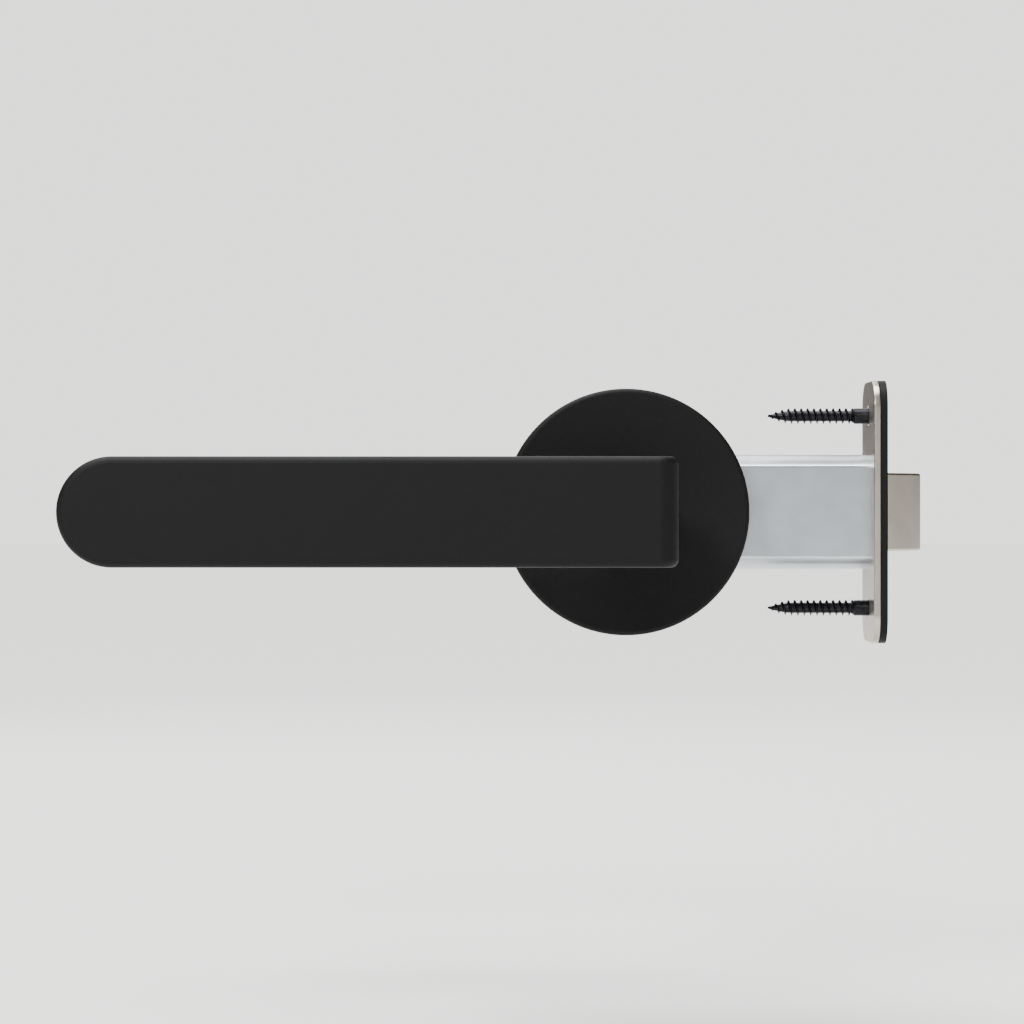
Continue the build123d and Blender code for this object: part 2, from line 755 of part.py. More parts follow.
# --- Bolt tail: the rod that the retractor pulls ---
with BuildPart() as bolt_tail:
    with BuildSketch(across(tail_back)):
        Circle(tail_radius)
    extrude(amount=flange_back + tail_socket - slip_gap - tail_back)
    chamfer(bolt_tail.edges().group_by(Axis.X)[0], 0.4)
    with Locations((flange_back + flange_depth / 2, latch_middle, 0)):
        Cylinder(tail_pin_radius + running_gap, flange_height, mode=Mode.SUBTRACT)
bolt_tail.part.label = "bolt_tail"
export_step(bolt_tail.part, "parts/bolt_tail.step")

# --- Tail pin: fixes the tail in the bolt ---
with BuildPart() as tail_pin:
    with Locations((flange_back + flange_depth / 2, latch_middle, 0)):
        Cylinder(tail_pin_radius, flange_height - 2 * slip_gap)
tail_pin.part.label = "tail_pin"
export_step(tail_pin.part, "parts/tail_pin.step")

# --- Tail nut: on the tail, behind the retractor's cross plate ---
with BuildPart() as tail_nut:
    with BuildSketch(across(nut_back)):
        RegularPolygon(tail_nut_radius, 6)
        Circle(tail_radius + running_gap, mode=Mode.SUBTRACT)
    extrude(amount=tail_nut_depth)
tail_nut.part.label = "tail_nut"
export_step(tail_nut.part, "parts/tail_nut.step")

# --- Bolt spring: round the tail, between the cross plate and the bolt ---
bolt_coil = compression_coil(
    plate_front, bolt_spring_room, 0, bolt_spring_radius, bolt_spring_wire, bolt_spring_turns
)
with BuildPart() as bolt_spring:
    with BuildSketch(Plane(origin=bolt_coil @ 0, z_dir=bolt_coil % 0)):
        Circle(bolt_spring_wire / 2)
    sweep(path=bolt_coil, is_frenet=True)
bolt_spring.part.label = "bolt_spring"
export_step(bolt_spring.part, "parts/bolt_spring.step")

# --- Rear half: mirror images of the front pieces ---
for front_piece, rear_name in (
    (lever, "rear_lever"),
    (grub_screw, "rear_grub_screw"),
    (rose_cover, "rear_rose_cover"),
    (neck_bush, "rear_neck_bush"),
    (thrust_washer, "rear_thrust_washer"),
    (circlip, "rear_circlip"),
    (spring_driver, "rear_spring_driver"),
    (return_spring, "rear_return_spring"),
    (case_half, "latch_case_rear_half"),
):
    with BuildPart() as rear_piece:
        mirror(front_piece.part, about=door_middle)
    rear_piece.part.label = rear_name
    export_step(rear_piece.part, f"parts/{rear_name}.step")
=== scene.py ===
# %% [markdown]
# # A lever handle set for a door
#
# The set has a straight matt black lever on a round rose at each side of the door, a square
# spindle and two clamping bolts between them, and a tubular latch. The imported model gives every
# piece its place and its body. This file makes the looks: what is seen is modelled again with
# soft edges, threads and true springs, and every piece gets a finish made of nodes.
#
# +X points to the edge of the door, +Y goes through it, and +Z is up. The spindle lies on the
# Y axis, and the front face of the door would be at y = 0.

import json
from math import cos, hypot, pi, radians, sin

import bpy
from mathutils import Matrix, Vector


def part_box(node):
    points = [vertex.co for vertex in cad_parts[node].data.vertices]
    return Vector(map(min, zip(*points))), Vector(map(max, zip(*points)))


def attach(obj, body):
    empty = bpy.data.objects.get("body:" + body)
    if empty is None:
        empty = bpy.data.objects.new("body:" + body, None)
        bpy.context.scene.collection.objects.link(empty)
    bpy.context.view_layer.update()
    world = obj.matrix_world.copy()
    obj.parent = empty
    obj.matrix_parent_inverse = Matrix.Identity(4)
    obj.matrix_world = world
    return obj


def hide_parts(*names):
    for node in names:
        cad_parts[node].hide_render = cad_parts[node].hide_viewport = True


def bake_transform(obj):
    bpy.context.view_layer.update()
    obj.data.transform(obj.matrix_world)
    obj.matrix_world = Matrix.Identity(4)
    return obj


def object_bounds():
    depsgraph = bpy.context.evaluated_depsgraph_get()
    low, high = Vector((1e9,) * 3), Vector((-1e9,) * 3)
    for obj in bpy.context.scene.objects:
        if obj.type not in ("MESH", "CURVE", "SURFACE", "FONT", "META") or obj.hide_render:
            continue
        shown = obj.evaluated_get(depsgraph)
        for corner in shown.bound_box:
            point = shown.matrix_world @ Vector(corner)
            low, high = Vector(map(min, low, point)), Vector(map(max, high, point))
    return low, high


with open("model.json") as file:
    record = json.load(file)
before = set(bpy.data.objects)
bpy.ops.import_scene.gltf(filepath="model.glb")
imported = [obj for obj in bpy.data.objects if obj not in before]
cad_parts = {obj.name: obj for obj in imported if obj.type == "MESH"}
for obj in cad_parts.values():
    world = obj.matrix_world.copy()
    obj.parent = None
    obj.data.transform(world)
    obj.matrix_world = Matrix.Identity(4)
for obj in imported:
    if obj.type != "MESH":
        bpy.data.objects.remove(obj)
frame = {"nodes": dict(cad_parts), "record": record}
cad_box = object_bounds()
mm = 0.001
near = 0.01 * mm      # a point this close to a place counts as lying there
merge_gap = 0.002     # mm; points closer than this are one point
slice_gap = 1e-7      # m; bisect's own gap of 0.1 mm would swallow small steps
print("pieces in the model:", len(frame["nodes"]))
print("box:", [round(v / mm, 1) for corner in cad_box for v in corner], "mm")

# %% Bodies, and the middle of the door
fixed, turning, pulling, latching = "roses_and_latch", "levers", "retractor", "bolt"
door_middle = (cad_box[0].y + cad_box[1].y) / 2
print("middle of the door at y =", round(door_middle / mm, 2), "mm")


# %% [markdown]
# ## Small tools
#
# An operator acts on whatever is selected. So each step starts by deselecting everything, and
# the faces or edges it works on are then chosen by their place.

# %% Selecting by place
def at(value, place):
    """True when a coordinate in metres lies at this place in mm."""
    return abs(value - place * mm) < near


def only(piece):
    """Leave edit mode and make this the one selected and active object."""
    if bpy.context.mode != "OBJECT":
        bpy.ops.object.mode_set(mode="OBJECT")
    bpy.ops.object.select_all(action="DESELECT")
    piece.select_set(True)
    bpy.context.view_layer.objects.active = piece
    return piece


def choose(piece, kind, test):
    """Go into edit mode with just the VERTs, EDGEs or FACEs whose middle passes the test."""
    only(piece)
    bpy.ops.object.mode_set(mode="EDIT")
    bpy.ops.mesh.select_mode(type=kind)
    bpy.ops.mesh.select_all(action="DESELECT")
    bpy.ops.object.mode_set(mode="OBJECT")
    mesh = piece.data
    corners = [v.co for v in mesh.vertices]
    if kind == "VERT":
        middles = corners
    elif kind == "EDGE":
        middles = [(corners[e.vertices[0]] + corners[e.vertices[1]]) / 2 for e in mesh.edges]
    else:
        middles = [f.center for f in mesh.polygons]
    items = {"VERT": mesh.vertices, "EDGE": mesh.edges, "FACE": mesh.polygons}[kind]
    for item, middle in zip(items, middles):
        item.select = bool(test(item, middle))
    count = sum(item.select for item in items)
    bpy.ops.object.mode_set(mode="EDIT")
    if not count:
        raise ValueError(f"nothing chosen on {piece.name}")
    return count


def whole(piece):
    """Go into edit mode with everything selected."""
    only(piece)
    bpy.ops.object.mode_set(mode="EDIT")
    bpy.ops.mesh.select_all(action="SELECT")


def leave():
    bpy.ops.object.mode_set(mode="OBJECT")


def slice_off(piece, place, way, fill=True):
    """Slice the piece at a place in mm and drop what lies beyond it on the way's side."""
    whole(piece)
    bpy.ops.mesh.bisect(
        plane_co=Vector(place) * mm, plane_no=way, clear_outer=True, use_fill=fill,
        threshold=slice_gap,
    )
    leave()
    return piece


def shift(x=0, y=0, z=0):
    """The move, in mm, that an extrude operator makes."""
    return {"value": Vector((x, y, z)) * mm}


# %% Applying places and modifiers
def settle(piece):
    """Put the object's place into its mesh, so that the object sits at the origin."""
    only(piece)
    bpy.ops.object.transform_apply(location=True, rotation=True, scale=True)
    return piece


def modify(piece, kind, **settings):
    """Add a modifier with these settings and apply it."""
    only(piece)
    modifier = piece.modifiers.new(kind.title(), kind)
    for name, value in settings.items():
        setattr(modifier, name, value)
    bpy.ops.object.modifier_apply(modifier=modifier.name)
    return piece


def outward(piece):
    """Merge doubles and point all faces outwards."""
    whole(piece)
    bpy.ops.mesh.remove_doubles(threshold=merge_gap * mm)
    bpy.ops.mesh.normals_make_consistent(inside=False)
    leave()
    return piece


def soften(piece, width, segments=2, angle=40, merge=merge_gap):
    """Break every edge sharper than the angle with a small round, its width in mm.

    Slivers that cuts leave behind would hold the round back, so they are merged first.
    """
    whole(piece)
    bpy.ops.mesh.remove_doubles(threshold=merge * mm)
    bpy.ops.mesh.dissolve_limited(angle_limit=radians(0.5))
    leave()
    return modify(
        piece, "BEVEL", width=width * mm, segments=segments, limit_method="ANGLE",
        angle_limit=radians(angle), use_clamp_overlap=True, miter_outer="MITER_ARC",
    )


# %% Blanks, in mm: block, rod and turned shape
def block(low, high):
    """A box between two corners."""
    low, high = Vector(low) * mm, Vector(high) * mm
    bpy.ops.object.select_all(action="DESELECT")
    bpy.ops.mesh.primitive_cube_add(size=1, location=(low + high) / 2, scale=high - low)
    return settle(bpy.context.object)


def rod(radius, start, end, sides=64, tip=None):
    """A cylinder from one point to another, or a cone when the tip has another radius."""
    start, end = Vector(start) * mm, Vector(end) * mm
    bpy.ops.object.select_all(action="DESELECT")
    bpy.ops.mesh.primitive_cone_add(
        vertices=sides, radius1=radius * mm, radius2=(radius if tip is None else tip) * mm,
        depth=(end - start).length, location=(start + end) / 2,
        rotation=(end - start).to_track_quat("Z", "Y").to_euler(),
    )
    return settle(bpy.context.object)


def drawn(points):
    """A chain of edges, drawn by extruding one point to the next, left in edit mode."""
    bpy.ops.object.select_all(action="DESELECT")
    bpy.ops.mesh.primitive_plane_add(size=mm, location=points[0])
    piece = settle(bpy.context.object)
    whole(piece)
    bpy.ops.mesh.select_mode(type="VERT")
    bpy.ops.mesh.merge(type="CENTER")
    for start, end in zip(points, points[1:]):
        bpy.ops.mesh.extrude_region_move(TRANSFORM_OT_translate={"value": end - start})
    bpy.ops.mesh.select_all(action="SELECT")
    return piece


def turned(profile, axis="Y", centre=(0, 0, 0), sides=96):
    """Spin a profile of (radius, distance along the axis) round that axis.

    A profile that starts and ends on the axis is closed by the spin, and another one is drawn
    back to its start.
    """
    along = Vector((axis == "X", axis == "Y", 0))
    out = Vector((0, 0, 1))
    points = [(Vector(centre) + out * r + along * d) * mm for r, d in profile]
    solid = profile[0][0] == profile[-1][0] == 0
    piece = drawn(points if solid else points + points[:1])
    bpy.ops.mesh.remove_doubles(threshold=merge_gap * mm)
    bpy.ops.mesh.spin(steps=sides, angle=2 * pi, center=Vector(centre) * mm, axis=along)
    leave()
    return outward(piece)


# %% Cutting, joining and copying
def cut(piece, *others, way="DIFFERENCE"):
    """Take the others' shapes out of the piece, or fuse them with it when the way is UNION."""
    for other in others:
        modify(piece, "BOOLEAN", operation=way, object=other, solver="EXACT")
        bpy.data.objects.remove(other)
    return piece


def weld(*pieces):
    """Make several closed shells one object."""
    only(pieces[0])
    for piece in pieces:
        piece.select_set(True)
    bpy.ops.object.join()
    return bpy.context.object


def copied(piece, move=(0, 0, 0), flip=None):
    """A copy with its own mesh, moved in mm, or mirrored along Y or Z about that plane in mm."""
    only(piece)
    bpy.ops.object.duplicate()
    copy = bpy.context.object
    copy.location = Vector(move) * mm
    if flip:
        axis, plane = flip
        copy.scale["XYZ".index(axis)] = -1
        copy.location["XYZ".index(axis)] += 2 * plane * mm
    return outward(settle(copy))


def pair(piece):
    """The piece and its mirror image below the level of the spindle."""
    return piece, copied(piece, flip=("Z", 0))


def to_rear(piece):
    """The rear handle's copy of a front piece, mirrored about the middle of the door."""
    return copied(piece, flip=("Y", door_middle / mm))


# %% Shading and handing over
def smooth(piece, angle=35):
    """Smooth shading that keeps flat faces flat beside rounded edges."""
    only(piece)
    bpy.ops.object.shade_smooth_by_angle(angle=radians(angle))
    return modify(piece, "WEIGHTED_NORMAL", keep_sharp=True, weight=80)


def dress(piece, name, finish):
    """Name the piece, give it its finish, and print how large it is."""
    piece.name = name
    piece.data.materials.clear()
    piece.data.materials.append(finishes[finish])
    points = [v.co for v in piece.data.vertices]
    low = [round(min(p[i] for p in points) / mm, 2) for i in range(3)]
    high = [round(max(p[i] for p in points) / mm, 2) for i in range(3)]
    print(f"{name}: {len(piece.data.polygons)} faces, {low} to {high} mm")


def install(piece, name, finish, body, node):
    """Finish a rigid piece and let it ride on its body in place of this node."""
    smooth(outward(piece))
    dress(piece, name, finish)
    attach(piece, body)
    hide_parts(node)


# %% Colours and nodes
def linear(hex_colour):
    """An sRGB hex colour as the linear values that Blender works in."""
    channels = [int(hex_colour[i:i + 2], 16) / 255 for i in (1, 3, 5)]
    return [c / 12.92 if c <= 0.04045 else ((c + 0.055) / 1.055) ** 2.4 for c in channels] + [1]


def add(tree, kind, inputs=None, **settings):
    """A node of this kind, with its settings, and with its inputs set or linked."""
    made = tree.nodes.new(kind)
    for name, value in settings.items():
        setattr(made, name, value)
    for name, value in (inputs or {}).items():
        if isinstance(value, bpy.types.NodeSocket):
            tree.links.new(value, made.inputs[name])
        else:
            made.inputs[name].default_value = value
    return made


def new_material(name, **shader):
    """A material with its shader's plain values set; returns it, its tree and its shader."""
    material = bpy.data.materials.new(name)
    material.use_nodes = True
    tree = material.node_tree
    principled = tree.nodes["Principled BSDF"]
    for socket, value in shader.items():
        principled.inputs[socket.replace("_", " ")].default_value = value
    return material, tree, principled


# %% [markdown]
# ## Finishes
#
# **Matt black powder coat.** The levers and covers are zinc with a baked powder coat: a polyester
# film that flows into a very fine orange peel, about half a millimetre from crest to crest, with
# matting flakes in it. It isn't shiny, but it has a soft sheen at low angles, and that sheen
# drifts a little where hands and sleeves rub it. Noise at these three sizes gives the height,
# the tone and the gloss. The flakes are drawn larger than the real ones, so that they show.

# %% Powder coat
def powder_coat():
    peel_width, flake_width, rub_width = 0.55 * mm, 0.16 * mm, 14 * mm
    material, tree, shader = new_material(
        "matt_black_powder_coat", IOR=1.5, Specular_IOR_Level=0.12
    )
    place = add(tree, "ShaderNodeTexCoord").outputs["Object"]
    peel = add(
        tree, "ShaderNodeTexNoise", {"Vector": place, "Scale": 1 / peel_width, "Detail": 2.0}
    )
    flakes = add(
        tree, "ShaderNodeTexNoise", {"Vector": place, "Scale": 1 / flake_width, "Detail": 1.0}
    )
    rubbed = add(
        tree, "ShaderNodeTexNoise", {"Vector": place, "Scale": 1 / rub_width, "Detail": 3.0}
    )
    tone = add(tree, "ShaderNodeValToRGB", {"Fac": flakes.outputs["Fac"]})
    tone.color_ramp.elements[0].position = 0.3
    tone.color_ramp.elements[0].color = linear("#09090A")
    tone.color_ramp.elements[1].position = 0.72
    tone.color_ramp.elements[1].color = linear("#111112")
    gloss = add(
        tree, "ShaderNodeMapRange",
        {"Value": rubbed.outputs["Fac"], "To Min": 0.52, "To Max": 0.62},
    )
    height = add(
        tree, "ShaderNodeMath",
        {0: peel.outputs["Fac"], 1: flakes.outputs["Fac"]}, operation="ADD",
    )
    bump = add(
        tree, "ShaderNodeBump",
        {"Height": height.outputs[0], "Distance": 0.02 * mm, "Strength": 0.5},
    )
    tree.links.new(tone.outputs["Color"], shader.inputs["Base Color"])
    tree.links.new(gloss.outputs["Result"], shader.inputs["Roughness"])
    tree.links.new(bump.outputs["Normal"], shader.inputs["Normal"])
    return material


# %% [markdown]
# **Metals.** Each one is the same recipe with other numbers: a tint that drifts in soft clouds,
# and fine marks, stretched along the way the metal was drawn, rolled or cast, that change the
# roughness and stand up as a very low relief. Real marks are finer than a tenth of a
# millimetre, and are drawn wider here, so that they show.

# %% Bare and plated metals
def metal(name, dark, light, rough, grain, depth, stretch=(1, 1, 1)):
    """Metal between two tints, with marks this wide and deep in mm, stretched along the axes."""
    cloud_width = 6 * mm
    material, tree, shader = new_material(name, Metallic=1.0)
    place = add(tree, "ShaderNodeTexCoord").outputs["Object"]
    along = add(tree, "ShaderNodeMapping", {"Vector": place, "Scale": stretch})
    marks = add(
        tree, "ShaderNodeTexNoise",
        {"Vector": along.outputs["Vector"], "Scale": 1 / (grain * mm), "Detail": 4.0},
    )
    cloud = add(
        tree, "ShaderNodeTexNoise", {"Vector": place, "Scale": 1 / cloud_width, "Detail": 3.0}
    )
    tint = add(tree, "ShaderNodeMix", {"Factor": cloud.outputs["Fac"]}, data_type="RGBA")
    tint.inputs["A"].default_value = linear(dark)
    tint.inputs["B"].default_value = linear(light)
    gloss = add(
        tree, "ShaderNodeMapRange",
        {"Value": marks.outputs["Fac"], "To Min": rough * 0.8, "To Max": rough * 1.25},
    )
    bump = add(
        tree, "ShaderNodeBump",
        {"Height": marks.outputs["Fac"], "Distance": depth * mm, "Strength": 0.4},
    )
    tree.links.new(tint.outputs["Result"], shader.inputs["Base Color"])
    tree.links.new(gloss.outputs["Result"], shader.inputs["Roughness"])
    tree.links.new(bump.outputs["Normal"], shader.inputs["Normal"])
    return material


# %% [markdown]
# **Moulded nylon.** The neck bushes are black nylon, moulded against a spark-eroded steel die.
# The die leaves a fine even grain, so the plastic is a little glossier than the powder coat
# and shows as a thin ring round the lever's neck.

# %% Moulded nylon
def nylon():
    grain_width = 0.25 * mm
    material, tree, shader = new_material("moulded_black_nylon", IOR=1.53)
    shader.inputs["Base Color"].default_value = linear("#0F0F10")
    place = add(tree, "ShaderNodeTexCoord").outputs["Object"]
    grain = add(
        tree, "ShaderNodeTexNoise", {"Vector": place, "Scale": 1 / grain_width, "Detail": 2.0}
    )
    gloss = add(
        tree, "ShaderNodeMapRange", {"Value": grain.outputs["Fac"], "To Min": 0.44, "To Max": 0.6}
    )
    bump = add(tree, "ShaderNodeBump", {"Height": grain.outputs["Fac"], "Distance": 0.01 * mm})
    tree.links.new(gloss.outputs["Result"], shader.inputs["Roughness"])
    tree.links.new(bump.outputs["Normal"], shader.inputs["Normal"])
    return material


# %% [markdown]
# ## The set's finishes
#
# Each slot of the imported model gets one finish. The springs and the small inner pieces that
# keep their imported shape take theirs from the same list.

# %% Finishes by slot
finishes = {
    "black_coat": powder_coat(),
    # Cast in a steel die and left bare: dull grey, with an uneven grain where the metal chilled.
    "die_cast_zinc": metal(
        "die_cast_zinc", "#7C8083", "#9EA2A5", rough=0.48, grain=0.9, depth=0.03
    ),
    # Zinc plated and passivated: bright, a little blue, and smooth enough for soft reflections.
    "plated_steel": metal(
        "zinc_plated_steel", "#A9B0B7", "#C9CED3", rough=0.3, grain=0.4, depth=0.002
    ),
    # Drawn spring wire, dark from its heat treatment and wet with oil.
    "spring_steel": metal(
        "oiled_spring_steel", "#55575A", "#6E7073", rough=0.33, grain=0.3, depth=0.004
    ),
    # Chemically blackened and waxed: nearly black, with a metallic sheen on the edges.
    "dark_steel": metal(
        "blackened_steel", "#1C1C1E", "#2C2C2F", rough=0.38, grain=0.4, depth=0.004
    ),
    # Brushed and then nickel plated: warm grey, with long fine lines that run up and down.
    "satin_nickel": metal(
        "satin_nickel_plate", "#A79F94", "#BDB5A9", rough=0.3, grain=0.25, depth=0.006,
        stretch=(1, 1, 0.05),
    ),
    "black_nylon": nylon(),
}

# %% Every carried-over piece gets the finish of its slot
slots = {entry["node"]: entry["material_slot"] for entry in frame["record"]["subparts"]}
for name, piece in frame["nodes"].items():
    piece.data.materials.clear()
    piece.data.materials.append(finishes[slots[name]])
print("finishes:", sorted(finishes))

# %% [markdown]
# ## The levers
#
# The real lever is one zinc casting: a flat bar with a half-round free end, which turns towards
# the door in a squared neck, and the neck goes round where it enters the rose. It could be
# lofted in one go, but the steps here follow how it looks: a box, its free end rounded by a
# bevel as deep as half its height, a heel extruded from its back, the two bends, the small
# round along every edge, and a bridge from the square neck to the round one.

# %% Lever bar, rounded end and heel
tip, face, under = (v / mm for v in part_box("front_lever")[0])
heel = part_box("front_lever")[1].x / mm
bar_thickness, neck, neck_square_end, neck_round_start = 9, 9, 38, 30
bar_back = face + bar_thickness
lever = block((tip, face, under), (heel, bar_back, -under))
choose(lever, "EDGE", lambda e, p: at(p.x, tip) and at(abs(p.z), -under))
end_round = -under - 0.02     # just short of half the height, where the two rounds would meet
bpy.ops.mesh.bevel(offset=end_round * mm, segments=32, affect="EDGES", clamp_overlap=False)
bpy.ops.mesh.select_all(action="SELECT")
bpy.ops.mesh.bisect(plane_co=(-neck * mm, 0, 0), plane_no=(1, 0, 0), threshold=slice_gap)
choose(lever, "FACE", lambda f, p: p.x > -neck * mm and f.normal.y > 0.9)
bpy.ops.mesh.extrude_region_move(TRANSFORM_OT_translate=shift(y=-neck_square_end - bar_back))
whole(lever)
bpy.ops.mesh.dissolve_limited(angle_limit=radians(1))
leave()
print("lever's bar and heel:", len(lever.data.polygons), "faces")

# %% Lever bends and edges
outer_bend, inner_bend, edge_round, bend_steps, edge_steps = 4, 6, 1.5, 14, 5
choose(lever, "EDGE", lambda e, p: at(p.x, heel) and at(p.y, face) and at(p.z, 0))
bpy.ops.mesh.bevel(
    offset=outer_bend * mm, segments=bend_steps, affect="EDGES", clamp_overlap=False
)
choose(lever, "EDGE", lambda e, p: at(p.x, -neck) and at(p.y, bar_back) and at(p.z, 0))
bpy.ops.mesh.bevel(
    offset=inner_bend * mm, segments=bend_steps, affect="EDGES", clamp_overlap=False
)
choose(lever, "FACE", lambda f, p: f.normal.y > 0.9 and at(p.y, -neck_square_end))
bpy.ops.mesh.delete(type="FACE")
bpy.ops.mesh.select_mode(type="EDGE")
bpy.ops.mesh.edges_select_sharp(sharpness=radians(60))
bpy.ops.mesh.bevel(
    offset=edge_round * mm, segments=edge_steps, affect="EDGES", clamp_overlap=False
)
leave()
print("with its edges rounded:", len(lever.data.polygons), "faces")

# %% Neck, from square to round
# The round outline gets as many points as the square one has, so that the bridge runs straight.
side_cuts = 11
outline_points = 4 * (side_cuts + 1 + edge_steps)
choose(lever, "EDGE", lambda e, p: at(p.y, -neck_square_end) and (at(p.x, 0) or at(p.z, 0)))
bpy.ops.mesh.subdivide(number_cuts=side_cuts)
bpy.ops.mesh.primitive_circle_add(
    vertices=outline_points, radius=neck * mm, location=(0, -neck_round_start * mm, 0),
    rotation=(pi / 2, 0, 0),
)
neck_shoulder, spigot, spigot_flat, spigot_end = 7.4, 7.5, 6.4, 0.2
bpy.ops.mesh.extrude_region_move(TRANSFORM_OT_translate=shift(y=neck_round_start - neck_shoulder))
choose(lever, "EDGE", lambda e, p: at(p.y, -neck_square_end) or at(p.y, -neck_round_start))
bpy.ops.mesh.bridge_edge_loops(number_cuts=10, interpolation="SURFACE", smoothness=0.9)
leave()
print("points round the neck:", outline_points)


# %% Spigot with its two driving flats
def on_spigot(v, p):
    """True for the points of the spigot's outline at the neck's shoulder."""
    return at(p.y, -neck_shoulder) and hypot(p.x, p.z) < (spigot + 0.1) * mm


choose(lever, "EDGE", lambda e, p: at(p.y, -neck_shoulder))
bpy.ops.mesh.extrude_region_move()
bpy.ops.transform.resize(value=(spigot / neck,) * 3, center_override=(0, -neck_shoulder * mm, 0))
for side in (1, -1):
    choose(lever, "VERT", lambda v, p: on_spigot(v, p) and side * p.z > spigot_flat * mm)
    bpy.ops.transform.resize(value=(1, 1, 0), center_override=(0, 0, side * spigot_flat * mm))
choose(lever, "VERT", on_spigot)
bpy.ops.mesh.extrude_region_move(TRANSFORM_OT_translate=shift(y=neck_shoulder - spigot_end))
bpy.ops.mesh.edge_face_add()
leave()
outward(lever)

# %% Square bore, grub screw hole and circlip groove
bore_half, bore_depth, grub_screw_radius, grub_hole_radius = 4.05, 32.5, 2.45, 2.5
groove_radius, groove_start, groove_end = 6.9, -1.9, -1.0
grub_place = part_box("front_grub_screw")[0].y / mm + grub_screw_radius
cut(
    lever,
    block((-bore_half, -bore_depth, -bore_half), (bore_half, 1, bore_half)),
    rod(grub_hole_radius, (0, grub_place, -4), (0, grub_place, -12), sides=48),
    turned([(groove_radius, groove_start), (8.5, groove_start), (8.5, groove_end),
            (groove_radius, groove_end)]),
)
rear_lever = to_rear(lever)
install(lever, "lever_front", "black_coat", turning, "front_lever")
install(rear_lever, "lever_rear", "black_coat", turning, "rear_lever")

# %% [markdown]
# ## The rose covers and neck bushes
#
# The cover is a shallow cup pressed from sheet and coated like the lever: a disc with a rolled
# rim and a hole for the bush. A cylinder without its back is the start, its rim is bevelled, its
# top inset for the hole, and Solidify gives the sheet its thickness inwards. The neck bush is a
# moulded nylon ring, so it is turned from a profile.

# %% Rose cover
rose_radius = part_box("front_rose_cover")[1].x / mm
rose_height = -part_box("front_rose_cover")[0].y / mm
rim_round, cover_wall, cover_hole, rim_sides = 1.0, 1.2, 10.65, 160
cover = rod(rose_radius, (0, -rose_height, 0), (0, 0, 0), sides=rim_sides)
choose(cover, "FACE", lambda f, p: f.normal.y > 0.9)
bpy.ops.mesh.delete(type="FACE")
choose(cover, "EDGE", lambda e, p: at(p.y, -rose_height))
bpy.ops.mesh.bevel(offset=rim_round * mm, segments=8, affect="EDGES", clamp_overlap=False)
choose(cover, "FACE", lambda f, p: f.normal.y < -0.9999)
flat_width = (rose_radius - rim_round - cover_hole) * cos(pi / rim_sides)
bpy.ops.mesh.inset(thickness=flat_width * mm, depth=0)
bpy.ops.mesh.delete(type="FACE")
leave()
modify(cover, "SOLIDIFY", thickness=cover_wall * mm, offset=-1, use_even_offset=True)
soften(cover, 0.2, segments=3)
rear_cover = to_rear(cover)
install(cover, "rose_cover_front", "black_coat", fixed, "front_rose_cover")
install(rear_cover, "rose_cover_rear", "black_coat", fixed, "rear_rose_cover")

# %% Neck bush
bush_bore, bush_outside, bush_flange = 9.05, 10.6, 12.0
bush_back, flange_front, bush_front = -7.5, -8.4, -10.0
bush = turned([
    (bush_bore, bush_back), (bush_flange, bush_back), (bush_flange, flange_front),
    (bush_outside, flange_front), (bush_outside, bush_front), (bush_bore, bush_front),
], sides=128)
soften(bush, 0.25, segments=3)
rear_bush = to_rear(bush)
install(bush, "neck_bush_front", "black_nylon", fixed, "front_neck_bush")
install(rear_bush, "neck_bush_rear", "black_nylon", fixed, "rear_neck_bush")

# %% [markdown]
# ## The spindle and the clamping bolts
#
# The spindle is square bar drawn through a die, so its long edges are a little round and its
# ends are chamfered with a grinder. The through bolts are machine screws with a rolled thread.
# A thread could be painted on with a bump, but its outline would stay straight, so one tooth is
# drawn as a line, and the Screw modifier winds it along the bar. Two flat cuts close the ends.

# %% Spindle
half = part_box("spindle")[1].x / mm
ends = [corner.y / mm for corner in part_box("spindle")]
spindle = block((-half, ends[0], -half), (half, ends[1], half))
choose(spindle, "EDGE", lambda e, p: at(p.y, ends[0]) or at(p.y, ends[1]))
bpy.ops.mesh.bevel(offset=0.8 * mm, segments=1, affect="EDGES")
leave()
soften(spindle, 0.35, segments=3, angle=60)
install(spindle, "square_spindle", "plated_steel", turning, "spindle")


# %% Threaded bar
def threaded(crest, core, pitch, start, length):
    """A bar along +X whose thread has this crest and core radius, closed with flat ends."""
    turns = int(length / pitch) + 3
    tooth = ((0, core), (0.3, core), (0.46, crest), (0.54, crest), (0.7, core), (1, core))
    first = start - 1.5 * pitch
    piece = drawn([Vector((first + share * pitch, radius, 0)) * mm for share, radius in tooth])
    leave()
    modify(
        piece, "SCREW", axis="X", angle=2 * pi, screw_offset=pitch * mm, iterations=turns,
        steps=32, render_steps=32, use_merge_vertices=True, merge_threshold=merge_gap * mm,
    )
    outward(piece)
    slice_off(piece, (start, 0, 0), (-1, 0, 0))
    slice_off(piece, (start + length, 0, 0), (1, 0, 0))
    return outward(piece)


